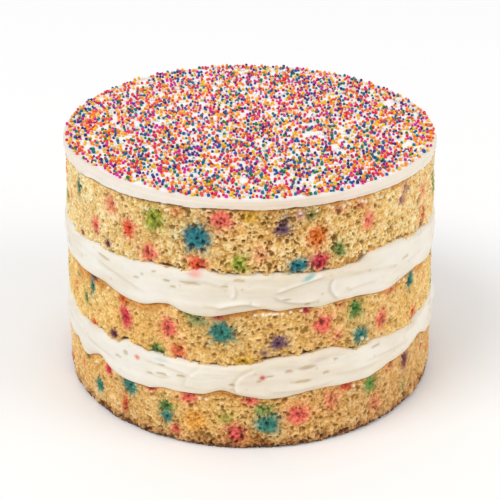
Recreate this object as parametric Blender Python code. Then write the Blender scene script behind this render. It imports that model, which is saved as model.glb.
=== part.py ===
"""A three-layer confetti sponge cake with two cream fillings and an iced, sprinkled top.

Metres, +Z up. The origin is the middle of the flat foot, and the front of the cake faces -Y.
Angles round the cake are measured from the front, positive towards +X.
"""

import math

import bmesh
import bpy
from mathutils import Vector, noise

MM = 0.001

# Driving dimensions
RADIUS = 72.7 * MM  # sponge side at the top of the cake
FLARE = 3 * MM  # how much wider the cake stands at its foot
HEIGHT = 101.3 * MM  # to the icing's flat top, without the sprinkles
TOUCHING_GAP = 0.3 * MM  # left between pieces that rest on each other
SEGMENTS = 64  # facets round the cake

# Heights of the layers away from the side, where they lie level
BOTTOM_CROWN = 27.5 * MM
MIDDLE_BED = 35.4 * MM
MIDDLE_CROWN = 62.2 * MM
TOP_BED = 71.6 * MM
TOP_CROWN = 97.7 * MM

# The lines seen on the side, as (degrees, height in millimetres). The first row of each is
# the stretch that faces the viewer, and the second goes on round the back.
LOWER_LIP = (
    (-76, 21.8), (-70, 21.8), (-64.5, 23.8), (-61, 20.2), (-57.5, 20.9), (-54, 23.6), (-50, 24.9),
    (-45, 22), (-38, 20.6), (-31, 21), (-26, 22.8), (-20, 22.6), (-14, 23.1), (-8, 25.6), (-3, 23.9),
    (4, 22.3), (11, 22.4), (20, 24.2), (28, 23.5), (36, 22.9), (46, 24.5), (55, 25.1), (63, 26.5),
    (71, 22.4), (80, 21.2),
    (92, 22.4), (115, 25), (135, 21.5), (157, 24), (178, 25.4), (198, 22), (220, 24.4), (245, 21),
    (265, 24),
)
MIDDLE_FOOT = (
    (-70, 36.6), (-62, 35.6), (-52, 36.3), (-43, 35.6), (-38.5, 37.8), (-34, 36.8), (-21, 36.4),
    (-10, 35.8), (0, 37), (8, 39.3), (18, 39.7), (24, 40.5), (32, 37), (40, 37.9), (48, 36.5),
    (57, 34.8), (62, 36), (72, 35.9),
    (95, 36.9), (120, 38.4), (145, 36.2), (170, 37.9), (195, 36), (220, 38.2), (250, 36.4),
)
UPPER_LIP = (
    (-75, 57.3), (-62, 57.5), (-56, 57.9), (-48, 58.8), (-42, 57), (-36, 56.1), (-31, 56.5),
    (-24, 59), (-19, 56.8), (-11, 56.5), (-6, 57.7), (0, 59.4), (4, 60.1), (8, 59.1), (15, 59.7),
    (20, 58.9), (27, 59.7), (33, 59.2), (42, 57.3), (49, 58.6), (59, 59.1), (66, 57.2), (72, 56.9),
    (85, 57.2), (105, 59.7), (125, 56.7), (145, 58.2), (160, 60.2), (180, 57.2), (200, 59.2),
    (220, 56.7), (240, 59.7), (262, 57.2),
)
TOP_FOOT = (
    (-72, 70.8), (-62, 70.4), (-52, 72.6), (-46, 71.9), (-38, 72.4), (-29, 73.7), (-20, 73.7),
    (-13, 74.8), (-9, 73.8), (-4, 73.5), (0, 74.1), (11, 73.6), (15, 72.9), (22, 72.5), (30, 73.1),
    (33.5, 73.3), (36, 75.8), (40, 75.6), (49, 75.2), (58, 72.8), (63, 72.8), (74, 70.8),
    (90, 73.1), (120, 72.1), (150, 74.1), (180, 72.6), (210, 74.1), (240, 72.6), (265, 72.3),
)
ICING_FOOT = (
    (-63, 97.2), (-55, 97.8), (-38, 97), (-30, 97.3), (-18, 98.1), (-6, 98.1), (4, 98.3), (19, 99),
    (44, 98.8), (60, 98.2), (76, 97.2),
    (100, 98.6), (150, 97.6), (200, 98.5), (250, 97.8),
)

# The edges of a layer, seen in section
LEVEL_INSET = 9 * MM  # how far in from the side a layer becomes level
FOOT_INSET = 1.4 * MM
FOOT_ROUND = 1.3 * MM
SHOULDER_INSET = 2.2 * MM
SHOULDER_DROP = 1.1 * MM
SHOULDER_RISE = 0.7 * MM

# Relief on the sides
CRAG_SIZE = 8 * MM
CRAG_DEPTH = 0.55 * MM
SMEAR_LENGTH = 26 * MM
SMEAR_HEIGHT = 6 * MM
SMEAR_DEPTH = 0.5 * MM
CREAM_PROUD = 0.5 * MM
CREAM_BULGE = 0.6 * MM
SIDE_STEPS = (0.25, 0.5, 0.75)

# The icing's rim and the sprinkles on its top
ICING_OVERHANG = 0.9 * MM
RIM_ROUND = 0.8 * MM
SPRINKLE_RADIUS = 0.625 * MM
SPRINKLE_SUNK = 0.15 * MM  # how far a sprinkle's middle lies below a bead that only rests
SPRINKLE_FIELD = 71.5 * MM
SPRINKLES = 230
GOLDEN_TURN = math.pi * (3 - math.sqrt(5))


def material(name, colour, roughness):
    made = bpy.data.materials.new(name)
    made.use_nodes = True
    shader = made.node_tree.nodes["Principled BSDF"]
    shader.inputs["Base Color"].default_value = (*colour, 1)
    shader.inputs["Roughness"].default_value = roughness
    return made


def height_on(line, angle):
    """The height in metres of a line on the side, read smoothly between its points."""
    turn = math.degrees(angle) % 360
    points = sorted((degrees % 360, height) for degrees, height in line)
    after = next((i for i, point in enumerate(points) if point[0] > turn), 0)
    picked = [points[(after + step) % len(points)] for step in (-2, -1, 0, 1)]
    (x0, y0), (x1, y1), (x2, y2), (x3, y3) = picked
    span, before, beyond = (x2 - x1) % 360, (x1 - x0) % 360, (x3 - x2) % 360
    slope_in = (y2 - y0) / (before + span) * span
    slope_out = (y3 - y1) / (span + beyond) * span
    t = ((turn - x1) % 360) / span
    curve = (
        (2 * t**3 - 3 * t**2 + 1) * y1
        + (t**3 - 2 * t**2 + t) * slope_in
        + (3 * t**2 - 2 * t**3) * y2
        + (t**3 - t**2) * slope_out
    )
    return curve * MM


def side_radius(height):
    return RADIUS + FLARE * (1 - height / HEIGHT)


def crags(angle, height):
    """The sponge's uneven side, in metres out from its true radius."""
    point = Vector((RADIUS * math.sin(angle), -RADIUS * math.cos(angle), height))
    return CRAG_DEPTH * noise.noise(point / CRAG_SIZE)


def smears(angle, height):
    """The long level strokes that a knife leaves in the cream."""
    along = Vector((RADIUS * math.sin(angle), -RADIUS * math.cos(angle), 0)) / SMEAR_LENGTH
    return SMEAR_DEPTH * noise.noise(along + Vector((7, 3, height / SMEAR_HEIGHT)))


def sponge_side(angle, height):
    return side_radius(height) + crags(angle, height)


def turned(name, rows, bed, crown, finish, flat_top=False):
    """A closed layer: rows are functions of the angle that give (radius, height), foot first."""
    mesh = bmesh.new()
    angles = [2 * math.pi * step / SEGMENTS for step in range(SEGMENTS)]
    rings = []
    for row in rows:
        ring = []
        for angle in angles:
            radius, height = row(angle)
            ring.append(mesh.verts.new((radius * math.sin(angle), -radius * math.cos(angle), height)))
        rings.append(ring)
    for lower, upper in zip(rings, rings[1:]):
        spreading = upper[0].co.xy.length > lower[0].co.xy.length
        for i in range(SEGMENTS):
            j = (i + 1) % SEGMENTS
            # The same split on both sides of a joint keeps the gap between two layers even.
            if spreading:
                mesh.faces.new((lower[i], lower[j], upper[i]))
                mesh.faces.new((lower[j], upper[j], upper[i]))
            else:
                mesh.faces.new((lower[i], lower[j], upper[j]))
                mesh.faces.new((lower[i], upper[j], upper[i]))
    foot_middle = mesh.verts.new((0, 0, bed))
    for i in range(SEGMENTS):
        mesh.faces.new((foot_middle, rings[0][(i + 1) % SEGMENTS], rings[0][i]))
    if flat_top:
        mesh.faces.new(rings[-1])
    else:
        top_middle = mesh.verts.new((0, 0, crown))
        for i in range(SEGMENTS):
            mesh.faces.new((top_middle, rings[-1][i], rings[-1][(i + 1) % SEGMENTS]))
    return finished(name, mesh, finish)


def finished(name, mesh, finish):
    data = bpy.data.meshes.new(name)
    mesh.to_mesh(data)
    mesh.free()
    data.shade_smooth()
    data.set_sharp_from_angle(angle=math.radians(40))
    data.materials.append(finish)
    made = bpy.data.objects.new(name, data)
    bpy.context.scene.collection.objects.link(made)
    return made


def level(height):
    return lambda angle: (side_radius(height) - LEVEL_INSET, height)


def between(foot, lip, step, side):
    """A row on the side, part of the way from the foot line to the lip line."""

    def row(angle):
        height = foot(angle) + (lip(angle) - foot(angle)) * step
        return side(angle, height), height

    return row


def sponge(name, foot, lip, bed, crown, finish, stands=False):
    """A sponge layer with a neat foot and a rounded shoulder under the cream."""

    def foot_edge(angle):
        return side_radius(foot(angle)) - FOOT_INSET, foot(angle)

    def foot_round(angle):
        height = foot(angle) + FOOT_ROUND
        return sponge_side(angle, height), height

    def shoulder_foot(angle):
        height = lip(angle) - SHOULDER_DROP
        return sponge_side(angle, height), height

    def shoulder_top(angle):
        return side_radius(lip(angle)) - SHOULDER_INSET, lip(angle) + SHOULDER_RISE

    rows = [foot_edge, foot_round]
    if not stands:
        rows.insert(0, level(bed))
    rows += [between(foot, lip, step, sponge_side) for step in SIDE_STEPS]
    rows += [shoulder_foot, shoulder_top, level(crown)]
    return turned(name, rows, bed, crown, finish)


def cream(name, lip, ceiling, bed, crown, finish):
    """A filling that lies on a sponge's shoulder and stands a little proud of the sides."""

    def over_shoulder(angle):
        inset = side_radius(lip(angle)) - SHOULDER_INSET
        return inset, lip(angle) + SHOULDER_RISE + TOUCHING_GAP

    def lip_edge(angle):
        height = lip(angle)
        return sponge_side(angle, height) + CREAM_PROUD, height

    def cream_side(angle, height):
        share = (height - lip(angle)) / (ceiling(angle) - lip(angle))
        bulge = CREAM_BULGE * math.sin(math.pi * share)
        return side_radius(height) + CREAM_PROUD + bulge + smears(angle, height)

    def under_foot(angle):
        height = ceiling(angle) - TOUCHING_GAP
        return side_radius(height) - FOOT_INSET, height

    rows = [level(bed + TOUCHING_GAP), over_shoulder, lip_edge]
    rows += [between(lip, ceiling, step, cream_side) for step in SIDE_STEPS]
    rows += [between(lip, ceiling, 0.93, cream_side), under_foot, level(crown - TOUCHING_GAP)]
    return turned(name, rows, bed + TOUCHING_GAP, crown - TOUCHING_GAP, finish)


def icing(name, foot, bed, finish):
    """The thin top icing: a disc that hangs a little over the sponge, with a rounded rim."""
    outer = RADIUS + ICING_OVERHANG

    def over_shoulder(angle):
        return side_radius(foot(angle)) - SHOULDER_INSET, foot(angle) + SHOULDER_RISE + TOUCHING_GAP

    def foot_edge(angle):
        return outer - ICING_OVERHANG / 2, foot(angle)

    def rim_foot(angle):
        return outer, foot(angle) + RIM_ROUND

    def rim_top(angle):
        return outer, HEIGHT - RIM_ROUND

    def top_edge(angle):
        return outer - RIM_ROUND, HEIGHT

    rows = [level(bed + TOUCHING_GAP), over_shoulder, foot_edge, rim_foot, rim_top, top_edge]
    return turned(name, rows, bed + TOUCHING_GAP, HEIGHT, finish, flat_top=True)


def sprinkle_places():
    """A sunflower spiral, which spreads the sprinkles evenly over the whole top."""
    for i in range(SPRINKLES):
        radius = SPRINKLE_FIELD * math.sqrt((i + 0.5) / SPRINKLES)
        turn = i * GOLDEN_TURN
        yield radius * math.cos(turn), radius * math.sin(turn)


def fuse_sprinkles(top, finish):
    """Joins the sprinkles to the icing that they are pressed into, as one body."""
    mesh = bmesh.new()
    middle = HEIGHT + SPRINKLE_RADIUS - SPRINKLE_SUNK
    for x, y in sprinkle_places():
        bead = bmesh.ops.create_icosphere(mesh, subdivisions=1, radius=SPRINKLE_RADIUS)
        bmesh.ops.translate(mesh, verts=bead["verts"], vec=(x, y, middle))
    beads = finished("sprinkles", mesh, finish)
    group = bpy.data.collections.new("sprinkle_beads")
    group.objects.link(beads)
    join = top.modifiers.new("sprinkles", "BOOLEAN")
    join.operation = "UNION"
    join.solver = "EXACT"
    join.operand_type = "COLLECTION"
    join.collection = group
    with bpy.context.temp_override(object=top, active_object=top):
        bpy.ops.object.modifier_apply(modifier=join.name)
    bpy.data.objects.remove(beads)
    bpy.data.collections.remove(group)


def main():
    for thing in list(bpy.data.objects):
        bpy.data.objects.remove(thing)

    crumb = material("sponge_crumb", (0.72, 0.46, 0.19), 0.9)
    buttercream = material("buttercream", (0.87, 0.82, 0.72), 0.5)
    sugar_icing = material("sprinkled_icing", (0.89, 0.84, 0.78), 0.5)

    def on(line):
        return lambda angle: height_on(line, angle)

    def ground(angle):
        return 0.0

    sponge("sponge_bottom", ground, on(LOWER_LIP), 0, BOTTOM_CROWN, crumb, stands=True)
    cream("cream_lower", on(LOWER_LIP), on(MIDDLE_FOOT), BOTTOM_CROWN, MIDDLE_BED, buttercream)
    sponge("sponge_middle", on(MIDDLE_FOOT), on(UPPER_LIP), MIDDLE_BED, MIDDLE_CROWN, crumb)
    cream("cream_upper", on(UPPER_LIP), on(TOP_FOOT), MIDDLE_CROWN, TOP_BED, buttercream)
    sponge("sponge_top", on(TOP_FOOT), on(ICING_FOOT), TOP_BED, TOP_CROWN, crumb)
    top = icing("icing_top", on(ICING_FOOT), TOP_CROWN, sugar_icing)
    fuse_sprinkles(top, sugar_icing)


main()
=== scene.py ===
"""The looks of a three-layer confetti cake: open crumb, knife-smeared cream, icing, sprinkles.

Lengths in the tables are in millimetres and angles in degrees, measured round the cake from its
front, which faces -Y, and positive towards +X. The meshes are made in metres.
"""

import math

import bmesh
import bpy
import numpy as np
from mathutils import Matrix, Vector


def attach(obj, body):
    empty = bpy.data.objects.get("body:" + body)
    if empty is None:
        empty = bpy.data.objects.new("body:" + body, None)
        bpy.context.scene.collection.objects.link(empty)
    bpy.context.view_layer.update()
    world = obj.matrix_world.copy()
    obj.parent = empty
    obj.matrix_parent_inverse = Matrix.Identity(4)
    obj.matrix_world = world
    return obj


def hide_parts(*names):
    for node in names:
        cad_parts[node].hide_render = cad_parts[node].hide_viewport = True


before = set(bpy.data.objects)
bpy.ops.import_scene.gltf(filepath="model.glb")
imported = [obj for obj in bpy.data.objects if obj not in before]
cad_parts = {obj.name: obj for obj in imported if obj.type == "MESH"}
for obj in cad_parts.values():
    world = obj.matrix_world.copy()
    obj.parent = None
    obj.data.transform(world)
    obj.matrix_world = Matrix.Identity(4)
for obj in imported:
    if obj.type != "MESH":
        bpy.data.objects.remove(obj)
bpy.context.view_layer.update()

MM = 0.001
TAU = 2 * math.pi
RADIUS = 72.7  # of the side, at the icing's top
FLARE = 3.0  # how much further out the side is at the foot
HEIGHT = 101.3  # up to the icing's top
CORE_INSET = 9.0  # how far inside the side a layer's plain flat faces start
CORE_LEVEL = 50.0  # the height at which that side is taken

# The lines seen on the side, as (degrees, height). The last points of each go on round the back.
LOWER_LIP = (
    (-76, 21.8), (-70, 21.8), (-64.5, 23.8), (-61, 20.2), (-57.5, 20.9), (-54, 23.6),
    (-50, 24.9), (-45, 22), (-38, 20.6), (-31, 21), (-26, 22.8), (-20, 22.6), (-14, 23.1),
    (-8, 25.6), (-3, 23.9), (4, 22.3), (11, 22.4), (20, 24.2), (28, 23.5), (36, 22.9),
    (46, 24.5), (55, 25.1), (63, 26.5), (71, 22.4), (80, 21.2),
    (92, 22.4), (115, 25), (135, 21.5), (157, 24), (178, 25.4), (198, 22), (220, 24.4), (245, 21),
    (265, 24),
)
MIDDLE_FOOT = (
    (-70, 36.6), (-62, 35.6), (-52, 36.3), (-43, 35.6), (-38.5, 37.8), (-34, 36.8), (-21, 36.4),
    (-10, 35.8), (0, 37), (8, 39.3), (18, 39.7), (24, 40.5), (32, 37), (40, 37.9), (48, 36.5),
    (57, 34.8), (62, 36), (72, 35.9),
    (95, 36.9), (120, 38.4), (145, 36.2), (170, 37.9), (195, 36), (220, 38.2), (250, 36.4),
)
UPPER_LIP = (
    (-75, 57.3), (-62, 57.5), (-56, 57.9), (-48, 58.8), (-42, 57), (-36, 56.1), (-31, 56.5),
    (-24, 59), (-19, 56.8), (-11, 56.5), (-6, 57.7), (0, 59.4), (4, 60.1), (8, 59.1), (15, 59.7),
    (20, 58.9), (27, 59.7), (33, 59.2), (42, 57.3), (49, 58.6), (59, 59.1), (66, 57.2), (72, 56.9),
    (85, 57.2), (105, 59.7), (125, 56.7), (145, 58.2), (160, 60.2), (180, 57.2), (200, 59.2),
    (220, 56.7), (240, 59.7), (262, 57.2),
)
TOP_FOOT = (
    (-72, 70.8), (-62, 70.4), (-52, 72.6), (-46, 71.9), (-38, 72.4), (-29, 73.7), (-20, 73.7),
    (-13, 74.8), (-9, 73.8), (-4, 73.5), (0, 74.1), (11, 73.6), (15, 72.9), (22, 72.5), (30, 73.1),
    (33.5, 73.3), (36, 75.8), (40, 75.6), (49, 75.2), (58, 72.8), (63, 72.8), (74, 70.8),
    (90, 73.1), (120, 72.1), (150, 74.1), (180, 72.6), (210, 74.1), (240, 72.6), (265, 72.3),
)
ICING_FOOT = (
    (-63, 97.2), (-55, 97.9), (-38, 97.9), (-30, 98.1), (-18, 98.6), (-6, 98.9), (4, 98.7),
    (19, 99), (44, 98.8), (60, 98.2), (76, 97.2),
    (100, 98.6), (150, 97.6), (200, 98.5), (250, 97.8),
)

# Colours, linear
# The crumb's colours run from the deep one in its pores to the light one on its tips: its own
# colour, with painted shade in the pores and painted highlight on the tips.
CRUMB_LIGHT = (1.0, 0.76, 0.38)
CRUMB_MID = (0.78, 0.45, 0.125)
CRUMB_DEEP = (0.35, 0.19, 0.04)
SKIN = (0.60, 0.255, 0.045)
# Brown crust, also used as painted shade in the gaps and pits at a layer's foot and in the line
# under each lip.
CRUST_AND_SHADE = (0.16, 0.058, 0.014)
WARM_TINT = (1.0, 0.88, 0.68)
TOAST_TINT = (0.59, 0.44, 0.36)
STRAY = (1.0, 0.85, 0.60)
CREAM = (0.90, 0.845, 0.735)
CREAM_PAINTED_HIGHLIGHT = (0.97, 0.93, 0.86)
CREAM_SHADE = (0.79, 0.68, 0.51)
CREAM_TAN = (0.62, 0.48, 0.28)
ICING_TOP = (0.97, 0.965, 0.95)
ICING_SIDE = (0.86, 0.775, 0.675)
STAINS = {
    "teal": (0.032, 0.2, 0.15),
    "blue": (0.013, 0.17, 0.19),
    "green": (0.11, 0.24, 0.036),
    "lime": (0.32, 0.35, 0.025),
    "sage": (0.30, 0.29, 0.09),
    "pink": (0.86, 0.138, 0.09),
    "crimson": (0.62, 0.034, 0.053),
    "red": (0.74, 0.085, 0.025),
    "orange": (0.78, 0.175, 0.016),
    "salmon": (0.78, 0.24, 0.10),
    "amber": (0.80, 0.31, 0.02),
    "yellow": (0.70, 0.38, 0.03),
    "purple": (0.15, 0.065, 0.1),
    "mauve": (0.48, 0.20, 0.18),
    "brown": (0.36, 0.10, 0.03),
    "plum": (0.17, 0.03, 0.06),
    "cyan": (0.06, 0.42, 0.47),
    "blush": (0.90, 0.40, 0.33),
    "scarlet": (0.86, 0.14, 0.045),
}

# How light the sponge looks round the cake: it is darkest at the front, where it is most torn
TONE = (
    (-70, 1.03), (-45, 1.02), (-22, 0.96), (0, 0.9), (22, 0.91), (45, 0.97), (68, 1.0),
    (120, 0.93), (180, 0.98), (230, 0.92),
)

# A tint for each piece round the cake: (degrees, red, green, blue)
TOP_WASH = (
    (-66, 1.1, 1.2, 1.4), (-42, 1.07, 1.14, 1.22), (-15, 1.12, 1.12, 1.06), (4, 1.17, 1.11, 1.0),
    (45, 1.17, 1.18, 1.18), (66, 1.14, 1.14, 1.24), (120, 1.08, 1.08, 1.05),
    (180, 1.1, 1.1, 1.08), (250, 1.06, 1.08, 1.08),
)
MIDDLE_WASH = (
    (-45, 1.03, 1.04, 0.95), (0, 1.13, 1.02, 0.80), (45, 1.07, 1.05, 0.96), (180, 1.05, 1.03, 0.9),
)
BOTTOM_WASH = (
    (-45, 0.96, 0.92, 0.87), (-5, 1.12, 1.02, 0.81), (12, 1.08, 0.96, 0.78), (45, 0.91, 0.8, 0.71),
    (180, 1.0, 0.92, 0.8),
)
# The cream's tints are painted shade, darkest across its front.
UPPER_SHADE_WASH = (
    (-45, 0.98, 1.0, 1.03), (-22, 0.98, 0.97, 0.96), (-2, 0.92, 0.88, 0.82), (18, 0.94, 0.9, 0.85),
    (38, 0.99, 0.98, 0.98), (55, 0.99, 0.98, 0.97), (180, 0.98, 0.98, 0.97),
)
LOWER_SHADE_WASH = (
    (-45, 0.97, 0.99, 1.02), (-22, 0.99, 0.98, 0.97), (2, 0.94, 0.9, 0.85), (18, 0.95, 0.91, 0.86),
    (38, 0.99, 0.98, 0.97), (180, 0.98, 0.98, 0.97),
)
ICING_WASH = (
    (-60, 1.02, 1.04, 1.07), (-35, 1.0, 1.02, 1.04), (-16, 0.98, 0.97, 0.96), (0, 0.95, 0.88, 0.8),
    (16, 0.9, 0.84, 0.77), (33, 0.97, 0.93, 0.92), (55, 1.0, 1.02, 1.0), (120, 1, 1, 1),
    (250, 1, 1, 1),
)

# Smooth brown skin under the lips of the cream: (degrees, half width in degrees, depth)
TOP_SKIN = (
    (-33, 7, 0.9), (3, 9, 1.6), (29, 13, 1.5), (49, 7, 1.6), (110, 14, 1.4), (200, 18, 1.6),
    (250, 10, 1.2),
)
MIDDLE_SKIN = (
    (-56, 14, 4.2), (-31, 10, 3.4), (-3, 9, 2.9), (10, 8, 1.9), (30, 7, 1.4), (54, 16, 3.0),
    (105, 14, 2.6), (150, 12, 1.6), (195, 16, 3.2), (245, 12, 2.0),
)
BOTTOM_SKIN = (
    (-59, 7, 1.8), (-30, 7, 1.1), (-10, 9, 2.4), (42, 14, 1.1), (95, 12, 2.2), (140, 10, 1.2),
    (185, 14, 2.6), (235, 16, 1.6),
)

# Confetti stains in the sponge: (degrees, height, half width, half height, colour, strength)
TOP_STAINS = (
    (-62, 90.8, 2.8, 4.8, "teal", 0.85), (-70, 83.3, 1.8, 2.4, "red", 0.6),
    (-44, 91.6, 3.6, 4.6, "pink", 0.55), (-52, 79.8, 3.0, 3.8, "pink", 0.85),
    (-37, 84.9, 3.6, 4.2, "red", 0.95), (-28, 91.4, 4.6, 5.6, "lime", 0.95),
    (-8, 95.0, 5.2, 5.0, "pink", 0.8), (-15, 86.8, 6.2, 6.4, "blue", 1.0),
    (-30, 77.7, 4.4, 4.8, "pink", 0.75), (-46, 74.9, 2.2, 2.0, "plum", 0.9),
    (-61, 72.3, 1.8, 1.8, "brown", 0.8), (-15, 76.2, 4.0, 3.6, "red", 1.0),
    (-3, 77.8, 3.8, 4.0, "lime", 0.8), (0, 96.4, 4.4, 2.6, "yellow", 0.75),
    (9, 90.7, 4.0, 3.6, "purple", 0.8), (14, 96.2, 2.8, 2.6, "mauve", 0.6),
    (17.5, 95.2, 3.2, 2.8, "sage", 0.7), (19, 86.9, 4.2, 5.0, "orange", 0.95),
    (26, 96.0, 3.4, 2.2, "salmon", 0.5), (33, 95.7, 4.2, 2.4, "salmon", 0.6),
    (36, 88.2, 3.2, 4.0, "pink", 0.65), (52, 95.0, 2.8, 2.8, "mauve", 0.65),
    (50, 91.0, 2.4, 2.6, "mauve", 0.7), (64, 88.2, 3.0, 4.4, "salmon", 0.6),
    (65, 79.0, 2.2, 3.8, "red", 0.8), (63, 74.6, 1.6, 1.8, "brown", 0.9),
    (26, 80.0, 3.4, 3.8, "green", 0.7), (20, 76.6, 4.6, 4.0, "crimson", 0.85),
    (13.5, 76.3, 4.2, 3.4, "blue", 1.0), (76, 88.2, 2.2, 4.6, "teal", 0.7),
    (3, 81.5, 3.2, 4.2, "salmon", 0.4), (-21, 96.2, 3.4, 2.2, "orange", 0.45),
    (10, 94.6, 1.8, 3.4, "purple", 0.4),
)
MIDDLE_STAINS = (
    (-54, 57.4, 3.6, 1.9, "plum", 1.0), (-55, 52.4, 2.6, 4.2, "teal", 0.85),
    (-59, 45.4, 1.8, 3.2, "green", 0.7), (-54, 37.2, 2.6, 2.2, "orange", 0.8),
    (-40, 54.8, 3.0, 2.6, "orange", 0.85), (-39, 47.8, 3.4, 5.6, "crimson", 0.85),
    (-24, 48.6, 4.2, 4.6, "pink", 0.85), (-15, 54.2, 4.4, 3.4, "sage", 0.85),
    (-18, 56.4, 2.2, 1.8, "green", 0.7), (-9, 56.4, 3.0, 1.8, "crimson", 0.7),
    (-8, 49.5, 6.0, 5.6, "teal", 0.95), (-28, 37.9, 3.4, 3.2, "green", 1.0),
    (-21, 39.6, 3.8, 4.2, "red", 0.65), (-44, 37.9, 2.6, 2.0, "plum", 0.95),
    (-2, 38.2, 4.2, 2.8, "yellow", 0.85), (8, 45.4, 3.6, 3.6, "purple", 0.95),
    (4, 41.6, 2.0, 1.8, "purple", 0.5), (16, 58.0, 2.2, 1.8, "crimson", 0.75),
    (21, 50.9, 4.6, 4.8, "pink", 0.85), (26, 44.6, 2.6, 2.8, "pink", 0.45),
    (32, 54.0, 3.6, 5.2, "green", 0.8), (34, 41.9, 4.2, 4.4, "teal", 0.95),
    (42, 45.4, 3.2, 4.8, "pink", 0.7), (56, 55.1, 2.4, 4.8, "teal", 0.95),
    (59, 39.2, 2.4, 3.4, "red", 0.75), (-65, 52.0, 1.8, 1.8, "sage", 0.6),
    (-68, 46.0, 2.4, 3.0, "salmon", 0.5), (46, 55.8, 4.4, 2.2, "salmon", 0.5),
    (27, 57.0, 2.6, 1.8, "salmon", 0.5), (66, 51.0, 2.4, 3.4, "salmon", 0.5),
)
BOTTOM_STAINS = (
    (-52, 10.4, 3.2, 3.4, "teal", 0.9), (-38, 18.0, 4.6, 4.2, "teal", 1.0),
    (-47, 20.4, 2.4, 2.4, "crimson", 0.8), (-30, 21.0, 2.8, 2.2, "crimson", 0.85),
    (-40, 8.6, 1.9, 5.0, "red", 0.75), (-25, 14.6, 3.6, 3.4, "green", 0.85),
    (-25, 9.9, 3.2, 3.4, "teal", 0.85), (-18, 21.0, 3.4, 3.0, "pink", 0.95),
    (-22, 5.5, 2.2, 2.6, "pink", 0.75), (-16, 11.1, 5.0, 5.6, "amber", 0.62),
    (-7, 13.4, 3.6, 2.8, "lime", 0.5), (-4, 6.8, 5.2, 4.8, "crimson", 0.68),
    (0, 21.3, 3.8, 2.4, "pink", 0.9), (5, 11.2, 5.6, 5.2, "teal", 0.95),
    (4, 17.4, 4.0, 3.6, "green", 0.6), (14, 13.9, 4.6, 4.8, "pink", 1.0),
    (24, 17.5, 3.8, 5.2, "salmon", 0.75), (29, 22.0, 3.0, 2.2, "red", 0.8),
    (38, 19.0, 3.2, 4.6, "green", 0.8), (40, 9.4, 3.6, 4.6, "salmon", 0.65),
    (54, 8.7, 2.4, 4.0, "sage", 0.5), (54, 20.6, 2.6, 4.8, "plum", 0.75),
    (67, 19.2, 2.0, 2.6, "crimson", 0.7), (-62, 14.2, 2.0, 3.0, "salmon", 0.6),
    (-59, 19.0, 2.2, 1.8, "green", 0.5), (46, 22.6, 2.4, 1.8, "salmon", 0.6),
)
BACK_STAIN_COLOURS = (
    "teal", "pink", "red", "lime", "blue", "orange", "purple", "green", "crimson", "yellow",
    "salmon", "pink", "mauve", "sage",
)

# Streaks pressed into the cream: (degrees, height, half length, half width, rise a degree)
UPPER_STREAKS = (
    (-17, 69.1, 4.4, 0.6, 0.02), (-24, 68.5, 1.5, 0.55, 0), (-7, 69.2, 1.3, 0.55, 0),
    (-47, 69.5, 4.0, 0.65, -0.06), (-34, 66.7, 1.3, 0.55, 0), (36, 68.7, 0.8, 0.5, 0),
    (-22, 66.5, 1.3, 0.5, 0), (10, 63.7, 1.8, 0.45, 0.02), (16, 60.9, 1.1, 0.5, 0),
    (52, 67.2, 2.0, 0.45, 0.05), (-28, 71.0, 0.9, 0.5, 0), (-3, 71.6, 2.4, 0.6, 0),
)
LOWER_STREAKS = (
    (-26, 28.8, 2.6, 0.6, 0), (-30, 27.6, 1.6, 0.6, 0), (-20, 29.6, 1.9, 0.6, 0),
    (15, 28.7, 3.6, 0.75, 0.03), (16.5, 34.2, 3.6, 0.75, 0.08), (5.5, 32.0, 1.5, 0.5, 0.03),
    (22, 30.9, 1.6, 0.5, 0.03), (2.5, 30.3, 1.0, 0.45, 0), (25, 35.6, 0.9, 0.55, 0),
    (-5, 28.6, 1.2, 0.6, 0), (-26, 32.6, 1.6, 0.45, 0), (-39, 32.4, 1.2, 1.3, 0),
    (39, 35.6, 2.4, 0.6, 0.06), (-42, 29.4, 1.8, 0.55, 0), (11, 33.4, 1.6, 0.6, 0),
)
# Edges that the knife leaves, as curves: start, the point that bends them, and end, each as
# (degrees, height), then how far they rise, and their width. Each is steep to the right of its way
# and falls off slowly to the left.
UPPER_STROKES = (
    ((5.5, 66.0), (14, 70.4), (22.5, 71.8), 0.9, 1.3),
    ((6, 66.0), (12, 60.4), (20.5, 62.6), 0.75, 1.5),
    ((25, 70.2), (21, 65.2), (26.5, 60.4), 0.9, 1.4),
    ((27, 71.1), (38, 70.2), (50, 66.0), 0.5, 2.4),
    ((-10.5, 59.4), (-2, 65.2), (4, 60.6), 0.95, 1.4),
    ((-5.5, 64.2), (-3.2, 66.5), (-5, 69.2), 0.75, 1.1),
    ((-20, 70.8), (-12, 71.8), (-5, 68.2), 0.45, 1.6),
    ((-52, 67.8), (-41, 67.4), (-30, 61.4), 0.5, 1.8),
    ((26, 63.0), (33, 65.6), (40, 63.6), 0.5, 1.6),
    ((-14, 61.4), (-8, 60.2), (0, 63.4), 0.45, 1.5),
    ((44, 64.0), (54, 66.8), (66, 65.0), 0.4, 2.0),
)
LOWER_STROKES = (
    ((4, 36.4), (-8, 31.0), (-2, 23.4), 0.8, 1.6),
    ((-34, 33.8), (-24, 33.4), (-14, 30.4), 0.5, 1.8),
    ((4, 25.8), (15, 25.0), (26, 27.4), 0.45, 1.8),
    ((12, 34.8), (18, 37.2), (24, 37.9), 0.55, 1.4),
    ((-58, 30.4), (-50, 30.2), (-42, 27.4), 0.5, 1.8),
    ((34, 31.4), (45, 32.4), (56, 30.4), 0.45, 2.0),
    ((-13, 34.4), (-19, 30.0), (-18, 24.6), 0.5, 2.2),
    ((-29.5, 28.3), (-26, 26.9), (-22.5, 29.4), 0.45, 0.8),
    ((24, 30.0), (32, 28.2), (42, 29.8), 0.4, 1.8),
)
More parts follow.
